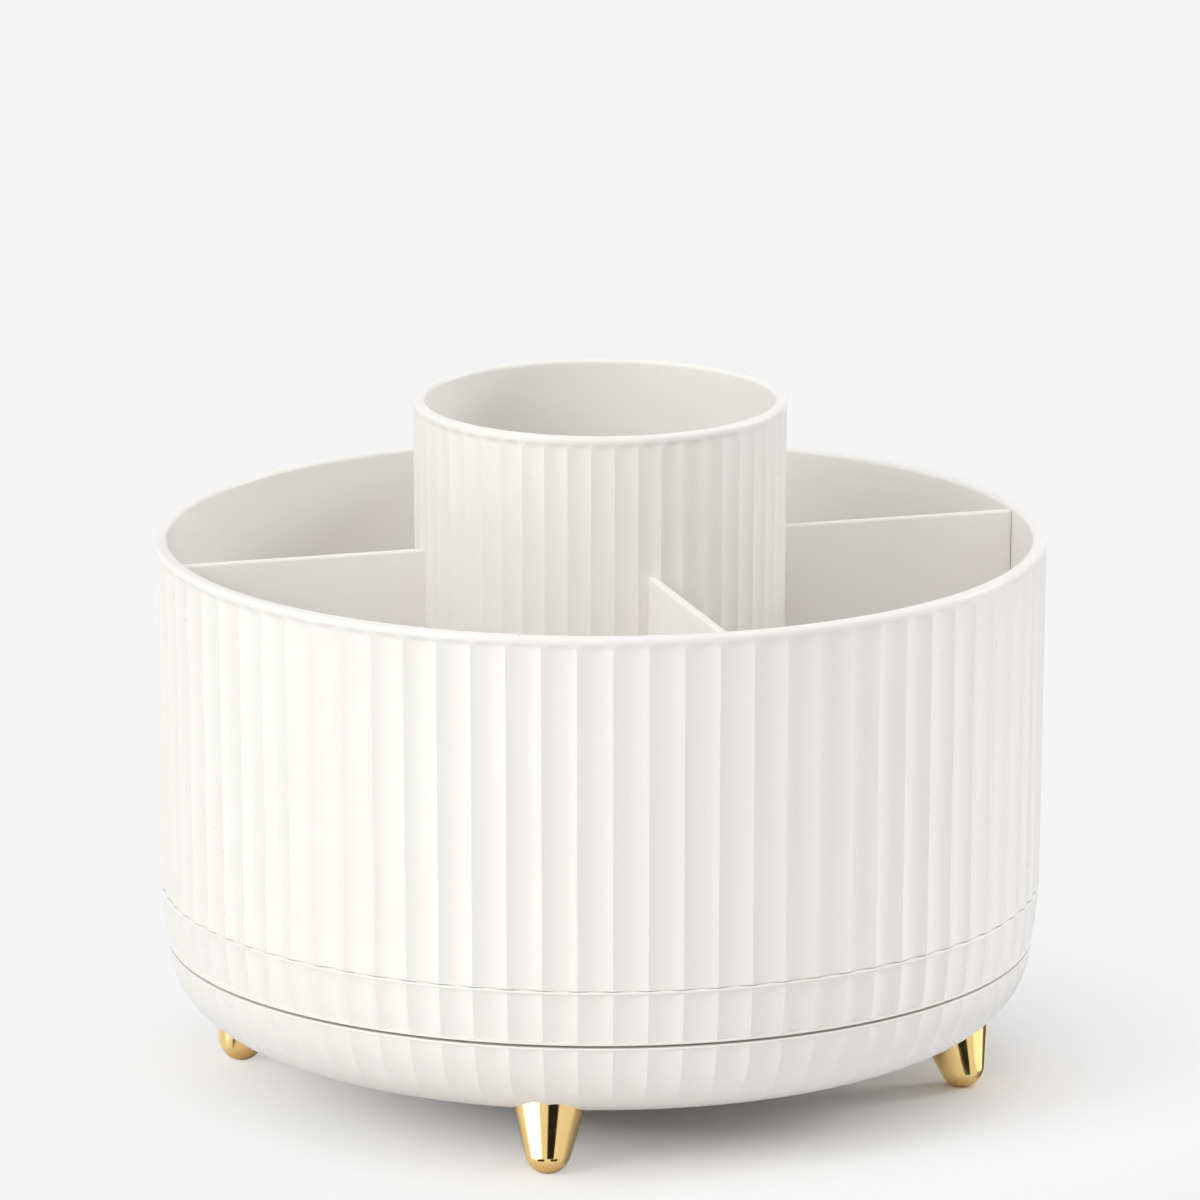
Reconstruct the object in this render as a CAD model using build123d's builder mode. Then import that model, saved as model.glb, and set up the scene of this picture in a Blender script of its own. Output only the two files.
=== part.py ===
from build123d import *
import math
import os

os.makedirs("parts", exist_ok=True)

# The organizer stands on the plane Z = 0 with its turning axis on Z. Millimetres.
# Angles of feet, dividers and flutes are taken from the front (-Y) towards +X.

# Stack of heights, from the table up
ground_clearance = 11.8
base_height = 20.5
rotation_gap = 0.6
turntable_height = 12.6
drum_height = 79.5
cup_rise = 31.3

# Outer radii, measured on the ridges of the flutes, and what they lose towards the table
rim_radius = 100.0
drum_taper = 1.1
turntable_taper = 1.5
bowl_reach = 33.3
bowl_fullness = 0.65
bowl_lean = 0.1
bowl_sections = 8
base_rim_inset = 0.1
turntable_swell = 0.12
cup_rim_radius = 41.8
cup_taper = 0.8

# Flutes
drum_flutes = 80
drum_flute_depth = 0.8
drum_flute_phase = 1.66
cup_flutes = 50
cup_flute_depth = 0.45
cup_flute_phase = 4.5
lip_height = 1.3
lip_round_share = 0.7
edge_band_height = 0.5
edge_band_round = 0.3

# Walls, floors and clearances
drum_wall = 3.2
cup_wall = 2.6
base_wall = 3.2
turntable_wall = 3.0
drum_floor = 2.5
cup_floor = 2.5
base_floor = 2.6
base_void_fullness = 0.4
base_void_lean = 0.05
turntable_plate = 2.5
seat_clearance = 0.3
seam_gap = 0.3
seam_depth = 1.6
seam_step = 0.05
locating_rib_width = 1.6
locating_rib_height = 2.0
slide_clearance = 0.1
screw_clearance = 0.2
thread_clearance = 0.05
pilot_overrun = 0.4

# Dividers
divider_thickness = 2.0
divider_drop = 0.8
divider_edge_round = 0.6
divider_slot_depth = 0.8
cup_groove_depth = 0.5
divider_angle = 16.5
divider_count = 4

# Feet
foot_angle = -8.0
foot_count = 4
foot_inset = 14.0
foot_tilt = 12.0
foot_half_angle = 15.0
foot_tip_radius = 4.05
foot_nose_radius = 5.2
foot_length = 17.5
foot_pocket_clearance = 0.12
foot_boss_wall = 2.2
foot_boss_height = 5.5

# Bearing deck, ball track and pivot
deck_thickness = 2.6
deck_depth = 5.6
deck_ledge = 1.4
deck_post_inset = 21.3
deck_post_angle = 37.0
deck_post_wall = 1.6
deck_boss_height = 4.0
deck_rib_count = 8
deck_rib_thickness = 1.6
deck_rib_height = 3.4
track_inset = 37.3
track_width = 7.0
track_height = 1.0
upper_track_height = 2.4
ball_radius = 3.0
ball_count = 12
groove_depth = 1.2
groove_clearance = 0.05
cage_width = 9.0
cage_thickness = 2.2
pocket_clearance = 0.15
post_radius = 8.0
post_clearance = 0.05
sleeve_wall = 3.5
sleeve_drop = 6.0
post_reach = 0.2
washer_radius = 12.5
washer_thickness = 1.2

# Screws: head radius, head height and shank radius of each size
small_head_radius = 3.2
small_head_height = 2.2
small_shank_radius = 1.5
pivot_head_radius = 4.2
pivot_head_height = 2.4
pivot_shank_radius = 2.0
pivot_screw_length = 12.0
deck_screw_bite = 5.0
foot_screw_bite = 6.5
drum_screw_bite = 5.0
cup_screw_bite = 3.0
counterbore_depth = 4.2
counterbore_clearance = 0.4
drum_screw_inset = 17.3
drum_screw_angle = 45.0
cup_screw_inset = 13.0
cup_screw_count = 3
screw_boss_radius = 4.0
cup_underside_height = 3.5

# Heights that follow
base_bottom_z = ground_clearance
base_rim_z = base_bottom_z + base_height
turntable_bottom_z = base_rim_z + rotation_gap
drum_bottom_z = turntable_bottom_z + turntable_height
turntable_top_z = drum_bottom_z - seam_gap
drum_floor_z = drum_bottom_z + drum_floor
drum_top_z = drum_bottom_z + drum_height
cup_top_z = drum_top_z + cup_rise
base_floor_z = base_bottom_z + base_floor
deck_bottom_z = base_rim_z - deck_depth
deck_top_z = deck_bottom_z + deck_thickness
track_top_z = deck_top_z + track_height
ball_z = track_top_z - groove_depth + groove_clearance + ball_radius
upper_track_z = ball_z + ball_radius + groove_clearance - groove_depth
plate_bottom_z = upper_track_z + upper_track_height
plate_top_z = plate_bottom_z + turntable_plate
sleeve_bottom_z = deck_bottom_z - sleeve_drop
post_end_z = sleeve_bottom_z - post_reach
washer_bottom_z = post_end_z - washer_thickness
cup_floor_z = drum_floor_z + cup_underside_height

# Radii that follow
drum_foot_radius = rim_radius - drum_taper
turntable_foot_radius = drum_foot_radius - turntable_taper
cup_foot_radius = cup_rim_radius - cup_taper
base_rim_radius = turntable_foot_radius - base_rim_inset
base_flat_radius = base_rim_radius - bowl_reach
foot_ring_radius = base_rim_radius - foot_inset
deck_post_radius = base_rim_radius - deck_post_inset
track_radius = base_rim_radius - track_inset
drum_screw_circle = base_rim_radius - drum_screw_inset
cup_screw_circle = cup_foot_radius - cup_screw_inset
deck_recess_radius = base_rim_radius - base_wall
deck_radius = deck_recess_radius - seat_clearance
base_void_radius = deck_recess_radius - deck_ledge
turntable_void_radius = turntable_foot_radius - turntable_wall
drum_inner_foot = drum_foot_radius - drum_wall
drum_inner_rim = rim_radius - drum_wall
cup_groove_radius = cup_foot_radius - cup_flute_depth - cup_groove_depth
counterbore_radius = small_head_radius + counterbore_clearance
deck_post_size = counterbore_radius + deck_post_wall


def around(radius, angle, height=0.0):
    """Point at a radius and an angle from the front, at a height."""
    turn = math.radians(angle)
    return Vector(radius * math.sin(turn), -radius * math.cos(turn), height)


def ring_of(count, start):
    """Angles of evenly spaced pieces, from a first angle."""
    return [start + index * 360.0 / count for index in range(count)]


def radius_at(height, low_z, low_radius, high_z, high_radius):
    """Radius of a straight tapered wall at a height."""
    share = (height - low_z) / (high_z - low_z)
    return low_radius + share * (high_radius - low_radius)


def fluted_outline(ridge_radius, count, depth, phase):
    """Closed outline of concave flutes that meet in sharp ridges."""
    half_pitch = 180.0 / count
    with BuildSketch() as outline:
        with BuildLine():
            for angle in ring_of(count, phase):
                ThreePointArc(
                    around(ridge_radius, angle),
                    around(ridge_radius - depth, angle + half_pitch),
                    around(ridge_radius, angle + 2.0 * half_pitch),
                )
        make_face()
    return outline.sketch


def drum_outline(ridge_radius):
    """Outline of the drum's flutes, drawn in with the radius."""
    depth = drum_flute_depth * ridge_radius / rim_radius
    return fluted_outline(ridge_radius, drum_flutes, depth, drum_flute_phase)


def radial_plane(angle, offset=0.0):
    """Vertical plane through the axis: local X runs outwards and local Y up."""
    outward = around(1.0, angle)
    normal = outward.cross(Vector(0, 0, 1))
    return Plane(origin=normal * offset, x_dir=outward, z_dir=normal)


def foot_plane(angle, along=0.0):
    """Plane across a foot's own axis, at a distance along it from the table."""
    tilt = math.radians(foot_tilt)
    outward = around(1.0, angle)
    axis = outward * -math.sin(tilt) + Vector(0, 0, math.cos(tilt))
    across = outward * math.cos(tilt) + Vector(0, 0, math.sin(tilt))
    start = around(foot_ring_radius, angle)
    return Plane(origin=start + axis * along, x_dir=across, z_dir=axis)


def foot_radius_at(along):
    """Radius of a foot's cone at a distance along its axis."""
    return foot_tip_radius + along * math.tan(math.radians(foot_half_angle))


def foot_side_plane(angle):
    """Plane through a foot's own axis: local Y runs up the axis from the table."""
    across_plane = foot_plane(angle)
    normal = across_plane.x_dir.cross(across_plane.z_dir)
    return Plane(origin=across_plane.origin, x_dir=across_plane.x_dir, z_dir=normal)


def turntable_well_radius(height):
    """Inner radius of the turntable's upper wall at a height."""
    outer = radius_at(
        height, turntable_bottom_z, turntable_foot_radius, drum_bottom_z, drum_foot_radius
    )
    return outer - turntable_wall


foot_angles = ring_of(foot_count, foot_angle)
deck_post_angles = ring_of(foot_count, deck_post_angle)
divider_angles = ring_of(divider_count, divider_angle)
drum_screw_angles = ring_of(divider_count, divider_angle + drum_screw_angle)
cup_screw_angles = ring_of(cup_screw_count, divider_angle + drum_screw_angle)
foot_boss_radius = foot_radius_at(foot_length) + foot_boss_wall
locating_rib_radius = turntable_well_radius(drum_bottom_z - locating_rib_height) - seat_clearance

# Base shell: the fluted bowl that stands still
base_band_z = base_rim_z - edge_band_height
with BuildLine() as bowl_line:
    pull_down = bowl_fullness * (base_band_z - base_bottom_z)
    pull_out = bowl_fullness * bowl_reach
    Bezier(
        (base_rim_radius, base_band_z),
        (base_rim_radius - bowl_lean * pull_down, base_band_z - pull_down),
        (base_flat_radius + pull_out, base_bottom_z),
        (base_flat_radius, base_bottom_z),
    )
bowl_curve = bowl_line.wire()

with BuildPart() as base_void:
    with BuildSketch(Plane.XZ) as void_profile:
        with BuildLine():
            void_depth = deck_bottom_z - base_floor_z
            void_drop = base_void_fullness * void_depth
            void_reach = base_void_radius - base_flat_radius
            curve = Bezier(
                (base_void_radius, deck_bottom_z),
                (base_void_radius - base_void_lean * void_depth, deck_bottom_z - void_drop),
                (base_flat_radius + base_void_fullness * void_reach, base_floor_z),
                (base_flat_radius, base_floor_z),
            )
            Polyline(
                curve @ 1,
                (0, base_floor_z),
                (0, turntable_bottom_z),
                (deck_recess_radius, turntable_bottom_z),
                (deck_recess_radius, deck_bottom_z),
                curve @ 0,
            )
        make_face()
    revolve(axis=Axis.Z)
    for angle in foot_angles:
        with BuildSketch(foot_plane(angle, foot_length + foot_boss_height)):
            Circle(foot_boss_radius)
        extrude(amount=-(foot_length + foot_boss_height), mode=Mode.SUBTRACT)
    with BuildSketch(Plane.XY.offset(deck_bottom_z - deck_boss_height)):
        for angle in deck_post_angles:
            with Locations(around(deck_post_radius, angle)):
                Circle(deck_post_size)
    extrude(amount=-(deck_bottom_z - deck_boss_height), mode=Mode.SUBTRACT)

with BuildPart() as base_shell:
    with BuildSketch(Plane.XY.offset(base_band_z)):
        Circle(base_rim_radius)
    extrude(amount=edge_band_height)
    rim_face = base_shell.faces().sort_by(Axis.Z)[-1]
    fillet(rim_face.edges(), radius=edge_band_round)
    for section in range(bowl_sections):
        station = bowl_curve @ (section / (bowl_sections - 1))
        with BuildSketch(Plane.XY.offset(station.Y)):
            add(drum_outline(station.X))
    loft()
    add(base_void.part, mode=Mode.SUBTRACT)
    for angle in foot_angles:
        with BuildSketch(foot_plane(angle)):
            Circle(foot_tip_radius + foot_pocket_clearance)
        with BuildSketch(foot_plane(angle, foot_length)):
            Circle(foot_radius_at(foot_length) + foot_pocket_clearance)
        loft(mode=Mode.SUBTRACT)
        with BuildSketch(foot_plane(angle, foot_length)):
            Circle(small_shank_radius + screw_clearance)
        extrude(amount=foot_boss_height, mode=Mode.SUBTRACT)
    with BuildSketch(Plane.XY):
        for angle in deck_post_angles:
            with Locations(around(deck_post_radius, angle)):
                Circle(counterbore_radius)
    extrude(amount=base_bottom_z + counterbore_depth, mode=Mode.SUBTRACT)
    with BuildSketch(Plane.XY):
        for angle in deck_post_angles:
            with Locations(around(deck_post_radius, angle)):
                Circle(small_shank_radius + screw_clearance)
    extrude(amount=deck_bottom_z, mode=Mode.SUBTRACT)

# Feet: short splayed cones with a round nose that is flat on the table
foot_slope = math.radians(foot_half_angle)
nose_along = (foot_nose_radius / math.cos(foot_slope) - foot_tip_radius) / math.tan(foot_slope)
nose_end_along = nose_along - foot_nose_radius * math.sin(foot_slope)
nose_turn = math.radians((90.0 + foot_half_angle) / 2.0)
nose_middle = (
    foot_nose_radius * math.cos(nose_turn),
    nose_along - foot_nose_radius * math.sin(nose_turn),
)
foot_names = ["foot_front", "foot_right", "foot_rear", "foot_left"]
feet = []
for name, angle in zip(foot_names, foot_angles):
    with BuildPart() as foot:
        with BuildSketch(foot_side_plane(angle)):
            with BuildLine():
                nose = ThreePointArc(
                    (0, nose_along - foot_nose_radius),
                    nose_middle,
                    (foot_radius_at(nose_end_along), nose_end_along),
                )
                Polyline(
                    nose @ 1,
                    (foot_radius_at(foot_length), foot_length),
                    (0, foot_length),
                    nose @ 0,
                )
            make_face()
        revolve(axis=Axis(foot_plane(angle).origin, foot_plane(angle).z_dir))
        split(bisect_by=Plane.XY, keep=Keep.TOP)
        with BuildSketch(foot_plane(angle, foot_length)):
            Circle(small_shank_radius + thread_clearance)
        extrude(amount=-(foot_screw_bite + pilot_overrun), mode=Mode.SUBTRACT)
    foot.part.label = name
    feet.append(foot.part)

with BuildPart() as foot_screws:
    for angle in foot_angles:
        with BuildSketch(foot_plane(angle, foot_length + foot_boss_height)):
            Circle(small_head_radius)
        extrude(amount=small_head_height)
        with BuildSketch(foot_plane(angle, foot_length + foot_boss_height)):
            Circle(small_shank_radius)
        extrude(amount=-(foot_boss_height + foot_screw_bite))

# Bearing deck: plate in the mouth of the base with the lower track and the sleeve
groove_section_radius = ball_radius + groove_clearance
with BuildPart() as bearing_deck:
    with BuildSketch(Plane.XY.offset(deck_bottom_z)):
        Circle(deck_radius)
    extrude(amount=deck_thickness)
    with BuildSketch(Plane.XY.offset(deck_top_z)):
        Circle(track_radius + track_width / 2.0)
        Circle(track_radius - track_width / 2.0, mode=Mode.SUBTRACT)
        Circle(post_radius + sleeve_wall)
    extrude(amount=track_height)
    with BuildSketch(Plane.XY.offset(deck_bottom_z)):
        for angle in deck_post_angles:
            with Locations(around(deck_post_radius, angle)):
                Circle(deck_post_size)
    extrude(amount=-deck_boss_height)
    with BuildSketch(Plane.XY.offset(deck_bottom_z)):
        Circle(track_radius + deck_rib_thickness)
        Circle(track_radius, mode=Mode.SUBTRACT)
        with PolarLocations((track_radius + post_radius) / 2.0, deck_rib_count):
            Rectangle(track_radius - post_radius, deck_rib_thickness)
    extrude(amount=-deck_rib_height)
    with BuildSketch(Plane.XY.offset(deck_bottom_z)):
        Circle(post_radius + sleeve_wall)
    extrude(amount=-sleeve_drop)
    with BuildSketch(Plane.XY.offset(sleeve_bottom_z)):
        Circle(post_radius + post_clearance)
    extrude(amount=deck_top_z + track_height - sleeve_bottom_z, mode=Mode.SUBTRACT)
    with BuildSketch(Plane.XZ):
        with Locations((track_radius, ball_z)):
            Circle(groove_section_radius)
    revolve(axis=Axis.Z, mode=Mode.SUBTRACT)
    with BuildSketch(Plane.XY.offset(deck_bottom_z - deck_boss_height)):
        for angle in deck_post_angles:
            with Locations(around(deck_post_radius, angle)):
                Circle(small_shank_radius + thread_clearance)
    extrude(amount=deck_screw_bite + pilot_overrun, mode=Mode.SUBTRACT)

deck_screw_seat_z = base_bottom_z + counterbore_depth
with BuildPart() as deck_screws:
    for angle in deck_post_angles:
        with BuildSketch(Plane.XY.offset(deck_screw_seat_z)):
            with Locations(around(deck_post_radius, angle)):
                Circle(small_head_radius)
        extrude(amount=-small_head_height)
        with BuildSketch(Plane.XY.offset(deck_screw_seat_z)):
            with Locations(around(deck_post_radius, angle)):
                Circle(small_shank_radius)
        extrude(amount=deck_bottom_z - deck_boss_height + deck_screw_bite - deck_screw_seat_z)

# Ball cage and balls
with BuildPart() as ball_cage:
    with BuildSketch(Plane.XY.offset(ball_z - cage_thickness / 2.0)):
        Circle(track_radius + cage_width / 2.0)
        Circle(track_radius - cage_width / 2.0, mode=Mode.SUBTRACT)
        with PolarLocations(track_radius, ball_count):
            Circle(ball_radius + pocket_clearance, mode=Mode.SUBTRACT)
    extrude(amount=cage_thickness)

with BuildPart(Plane.XY.offset(ball_z)) as bearing_balls:
    with PolarLocations(track_radius, ball_count):
        Sphere(ball_radius)

# Turntable: the lower fluted band, with the upper track and the pivot post
with BuildPart() as turntable:
    turntable_head_radius = drum_foot_radius - seam_step
    turntable_middle_z = (turntable_bottom_z + turntable_top_z) / 2.0
    turntable_middle_radius = (turntable_foot_radius + drum_foot_radius) / 2.0 + turntable_swell
    with BuildSketch(Plane.XY.offset(turntable_bottom_z)):
        Circle(turntable_foot_radius)
    extrude(amount=edge_band_height)
    with BuildSketch(Plane.XY.offset(turntable_top_z)):
        Circle(turntable_head_radius)
    extrude(amount=-edge_band_height)
    band_faces = turntable.faces().sort_by(Axis.Z)
    fillet(band_faces[0].edges() + band_faces[-1].edges(), radius=edge_band_round)
    with BuildSketch(Plane.XY.offset(turntable_bottom_z + edge_band_height)):
        add(drum_outline(turntable_foot_radius))
    with BuildSketch(Plane.XY.offset(turntable_middle_z)):
        add(drum_outline(turntable_middle_radius))
    with BuildSketch(Plane.XY.offset(turntable_top_z - edge_band_height)):
        add(drum_outline(turntable_head_radius))
    loft()
    with BuildSketch(Plane.XY.offset(turntable_top_z)):
        Circle(drum_foot_radius - seam_depth)
    extrude(amount=seam_gap)
    with BuildSketch(Plane.XY.offset(plate_top_z)):
        Circle(turntable_well_radius(plate_top_z))
    with BuildSketch(Plane.XY.offset(drum_bottom_z)):
        Circle(turntable_well_radius(drum_bottom_z))
    loft(mode=Mode.SUBTRACT)
    with BuildSketch(Plane.XY.offset(turntable_bottom_z)):
        Circle(turntable_void_radius)
    extrude(amount=plate_bottom_z - turntable_bottom_z, mode=Mode.SUBTRACT)
    with BuildSketch(Plane.XY.offset(plate_bottom_z)):
        Circle(track_radius + track_width / 2.0)
        Circle(track_radius - track_width / 2.0, mode=Mode.SUBTRACT)
    extrude(amount=upper_track_z - plate_bottom_z)
    with BuildSketch(Plane.XZ):
        with Locations((track_radius, ball_z)):
            Circle(groove_section_radius)
    revolve(axis=Axis.Z, mode=Mode.SUBTRACT)
    with BuildSketch(Plane.XY.offset(plate_bottom_z)):
        Circle(post_radius)
    extrude(amount=post_end_z - plate_bottom_z)
    with BuildSketch(Plane.XY.offset(post_end_z)):
        Circle(pivot_shank_radius + thread_clearance)
    extrude(amount=pivot_screw_length - washer_thickness + pilot_overrun, mode=Mode.SUBTRACT)
    with BuildSketch(Plane.XY.offset(plate_bottom_z)):
        for angle in drum_screw_angles:
            with Locations(around(drum_screw_circle, angle)):
                Circle(small_shank_radius + screw_clearance)
    extrude(amount=turntable_plate, mode=Mode.SUBTRACT)

with BuildPart() as pivot_washer:
    with BuildSketch(Plane.XY.offset(washer_bottom_z)):
        Circle(washer_radius)
        Circle(pivot_shank_radius + screw_clearance, mode=Mode.SUBTRACT)
    extrude(amount=washer_thickness)

with BuildPart() as pivot_screw:
    with BuildSketch(Plane.XY.offset(washer_bottom_z)):
        Circle(pivot_head_radius)
    extrude(amount=-pivot_head_height)
    with BuildSketch(Plane.XY.offset(washer_bottom_z)):
        Circle(pivot_shank_radius)
    extrude(amount=pivot_screw_length)

# Drum: fluted wall, smooth rounded rim, floor, and bosses under the floor
lip_z = drum_top_z - lip_height
lip_round = lip_round_share * min(lip_height, drum_wall / 2.0)
with BuildPart() as drum:
    with BuildSketch(Plane.XY.offset(drum_bottom_z)):
        add(drum_outline(drum_foot_radius))
    with BuildSketch(Plane.XY.offset(lip_z)):
        add(drum_outline(rim_radius))
    loft(ruled=True)
    with BuildSketch(Plane.XY.offset(lip_z)):
        Circle(rim_radius)
    extrude(amount=lip_height)
    with BuildSketch(Plane.XY.offset(drum_floor_z)):
        Circle(radius_at(drum_floor_z, drum_bottom_z, drum_inner_foot, drum_top_z, drum_inner_rim))
    with BuildSketch(Plane.XY.offset(drum_top_z)):
        Circle(drum_inner_rim)
    loft(mode=Mode.SUBTRACT)
    rim_face = drum.faces().sort_by(Axis.Z)[-1]
    fillet(rim_face.edges(), radius=lip_round)
    with BuildSketch(Plane.XY.offset(drum_bottom_z)):
        Circle(locating_rib_radius)
        Circle(locating_rib_radius - locating_rib_width, mode=Mode.SUBTRACT)
    extrude(amount=-locating_rib_height)
    with BuildSketch(Plane.XY.offset(drum_bottom_z)):
        for angle in drum_screw_angles:
            with Locations(around(drum_screw_circle, angle)):
                Circle(screw_boss_radius)
    extrude(amount=plate_top_z - drum_bottom_z)
    with BuildSketch(Plane.XY.offset(plate_top_z)):
        for angle in drum_screw_angles:
            with Locations(around(drum_screw_circle, angle)):
                Circle(small_shank_radius + thread_clearance)
    extrude(amount=drum_screw_bite + pilot_overrun, mode=Mode.SUBTRACT)
    with BuildSketch(Plane.XY.offset(drum_bottom_z)):
        for angle in cup_screw_angles:
            with Locations(around(cup_screw_circle, angle)):
                Circle(small_shank_radius + screw_clearance)
    extrude(amount=drum_floor, mode=Mode.SUBTRACT)
    for angle in divider_angles:
        with BuildSketch(radial_plane(angle, -divider_thickness / 2.0 - slide_clearance)):
            with Locations((cup_foot_radius, drum_floor_z - divider_slot_depth)):
                Rectangle(
                    drum_inner_foot - cup_foot_radius,
                    2.0 * divider_slot_depth,
                    align=(Align.MIN, Align.MIN),
                )
        extrude(amount=divider_thickness + 2.0 * slide_clearance, mode=Mode.SUBTRACT)

with BuildPart() as drum_screws:
    for angle in drum_screw_angles:
        with BuildSketch(Plane.XY.offset(plate_bottom_z)):
            with Locations(around(drum_screw_circle, angle)):
                Circle(small_head_radius)
        extrude(amount=-small_head_height)
        with BuildSketch(Plane.XY.offset(plate_bottom_z)):
            with Locations(around(drum_screw_circle, angle)):
                Circle(small_shank_radius)
        extrude(amount=turntable_plate + drum_screw_bite)

# Centre cup: fluted tube with a raised floor, grooved for the dividers
cup_lip_z = cup_top_z - lip_height
cup_lip_round = lip_round_share * min(lip_height, cup_wall / 2.0)
with BuildPart() as brush_cup:
    with BuildSketch(Plane.XY.offset(drum_floor_z)):
        add(fluted_outline(cup_foot_radius, cup_flutes, cup_flute_depth, cup_flute_phase))
    with BuildSketch(Plane.XY.offset(cup_lip_z)):
        add(fluted_outline(cup_rim_radius, cup_flutes, cup_flute_depth, cup_flute_phase))
    loft(ruled=True)
    with BuildSketch(Plane.XY.offset(cup_lip_z)):
        Circle(cup_rim_radius)
    extrude(amount=lip_height)
    with BuildSketch(Plane.XY.offset(cup_floor_z + cup_floor)):
        Circle(cup_foot_radius - cup_wall)
    with BuildSketch(Plane.XY.offset(cup_top_z)):
        Circle(cup_rim_radius - cup_wall)
    loft(mode=Mode.SUBTRACT)
    cup_rim_face = brush_cup.faces().sort_by(Axis.Z)[-1]
    fillet(cup_rim_face.edges(), radius=cup_lip_round)
    with BuildSketch(Plane.XY.offset(drum_floor_z)):
        Circle(cup_foot_radius - cup_wall)
        for angle in cup_screw_angles:
            with Locations(around(cup_screw_circle, angle)):
                Circle(screw_boss_radius, mode=Mode.SUBTRACT)
    extrude(amount=cup_underside_height, mode=Mode.SUBTRACT)
    with BuildSketch(Plane.XY.offset(drum_floor_z)):
        for angle in cup_screw_angles:
            with Locations(around(cup_screw_circle, angle)):
                Circle(small_shank_radius + thread_clearance)
    extrude(amount=cup_screw_bite + pilot_overrun, mode=Mode.SUBTRACT)
    for angle in divider_angles:
        with BuildSketch(radial_plane(angle, -divider_thickness / 2.0 - slide_clearance)):
            with Locations((cup_groove_radius, drum_floor_z)):
                Rectangle(
                    cup_rim_radius,
                    drum_top_z - divider_drop + slide_clearance - drum_floor_z,
                    align=(Align.MIN, Align.MIN),
                )
        extrude(amount=divider_thickness + 2.0 * slide_clearance, mode=Mode.SUBTRACT)

with BuildPart() as cup_screws:
    for angle in cup_screw_angles:
        with BuildSketch(Plane.XY.offset(drum_bottom_z)):
            with Locations(around(cup_screw_circle, angle)):
                Circle(small_head_radius)
        extrude(amount=-small_head_height)
        with BuildSketch(Plane.XY.offset(drum_bottom_z)):
            with Locations(around(cup_screw_circle, angle)):
                Circle(small_shank_radius)
        extrude(amount=drum_floor + cup_screw_bite)

# Dividers: flat panels from the cup's grooves to the drum wall
divider_names = ["divider_front", "divider_right", "divider_rear", "divider_left"]
divider_top_z = drum_top_z - divider_drop
wall_gap = seat_clearance / 2.0
dividers = []
for name, angle in zip(divider_names, divider_angles):
    with BuildPart() as divider:
        with BuildSketch(radial_plane(angle, -divider_thickness / 2.0)):
            with BuildLine():
                inner = cup_groove_radius + slide_clearance
                outer_low = radius_at(
                    drum_floor_z, drum_bottom_z, drum_inner_foot, drum_top_z, drum_inner_rim
                )
                outer_high = radius_at(
                    divider_top_z, drum_bottom_z, drum_inner_foot, drum_top_z, drum_inner_rim
                )
                Polyline(
                    (inner, drum_floor_z),
                    (cup_foot_radius + slide_clearance, drum_floor_z),
                    (cup_foot_radius + slide_clearance, drum_floor_z - divider_slot_depth),
                    (drum_inner_foot - wall_gap, drum_floor_z - divider_slot_depth),
                    (drum_inner_foot - wall_gap, drum_floor_z),
                    (outer_low - wall_gap, drum_floor_z),
                    (outer_high - wall_gap, divider_top_z),
                    (inner, divider_top_z),
                    close=True,
                )
            make_face()
        extrude(amount=divider_thickness)
        top_face = divider.faces().sort_by(Axis.Z)[-1]
        long_edges = top_face.edges().sort_by(SortBy.LENGTH)[-2:]
        fillet(long_edges, radius=divider_edge_round)
    divider.part.label = name
    dividers.append(divider.part)

named_parts = {
    "base_shell": base_shell.part,
    "foot_screws": foot_screws.part,
    "bearing_deck": bearing_deck.part,
    "deck_screws": deck_screws.part,
    "ball_cage": ball_cage.part,
    "bearing_balls": bearing_balls.part,
    "turntable": turntable.part,
    "pivot_washer": pivot_washer.part,
    "pivot_screw": pivot_screw.part,
    "drum": drum.part,
    "drum_screws": drum_screws.part,
    "brush_cup": brush_cup.part,
    "cup_screws": cup_screws.part,
}
for name, piece in named_parts.items():
    piece.label = name
for piece in list(named_parts.values()) + feet + dividers:
    export_step(piece, "parts/" + piece.label + ".step")
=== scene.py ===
import math

import bmesh
import bpy
from mathutils import Matrix, Vector


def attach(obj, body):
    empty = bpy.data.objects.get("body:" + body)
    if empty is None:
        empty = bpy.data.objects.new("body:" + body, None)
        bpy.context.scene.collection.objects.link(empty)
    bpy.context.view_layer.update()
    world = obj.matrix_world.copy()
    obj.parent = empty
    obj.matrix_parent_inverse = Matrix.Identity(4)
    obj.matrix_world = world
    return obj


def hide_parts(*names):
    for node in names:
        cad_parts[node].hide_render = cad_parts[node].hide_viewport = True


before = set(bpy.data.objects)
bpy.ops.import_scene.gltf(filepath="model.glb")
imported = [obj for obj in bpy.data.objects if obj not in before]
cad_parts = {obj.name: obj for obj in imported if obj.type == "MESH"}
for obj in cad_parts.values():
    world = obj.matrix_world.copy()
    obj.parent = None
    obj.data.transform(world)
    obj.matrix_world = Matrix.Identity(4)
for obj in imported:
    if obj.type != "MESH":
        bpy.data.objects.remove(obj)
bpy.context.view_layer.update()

# The pieces are measured in millimetres, which this factor turns to metres. The camera, the lights
# and the floor are in metres.
MM = 0.001

# Heights of the organizer above the table, and of its parts
GROUND_CLEARANCE = 11.8
BASE_HEIGHT = 20.5
ROTATION_GAP = 0.6
TURNTABLE_HEIGHT = 12.6
DRUM_HEIGHT = 79.5
CUP_RISE = 31.3
SEAM_GAP = 0.15
DRUM_FLOOR = 2.5
CUP_SEAT = 3.5
CUP_FLOOR = 2.5
BASE_FLOOR = 2.6
PLATE_THICKNESS = 2.5
BASE_RIM_Z = GROUND_CLEARANCE + BASE_HEIGHT
TURNTABLE_Z = BASE_RIM_Z + ROTATION_GAP
DRUM_Z = TURNTABLE_Z + TURNTABLE_HEIGHT
DRUM_FLOOR_Z = DRUM_Z + DRUM_FLOOR
DRUM_TOP_Z = DRUM_Z + DRUM_HEIGHT
CUP_SEAT_Z = DRUM_FLOOR_Z + CUP_SEAT
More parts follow.
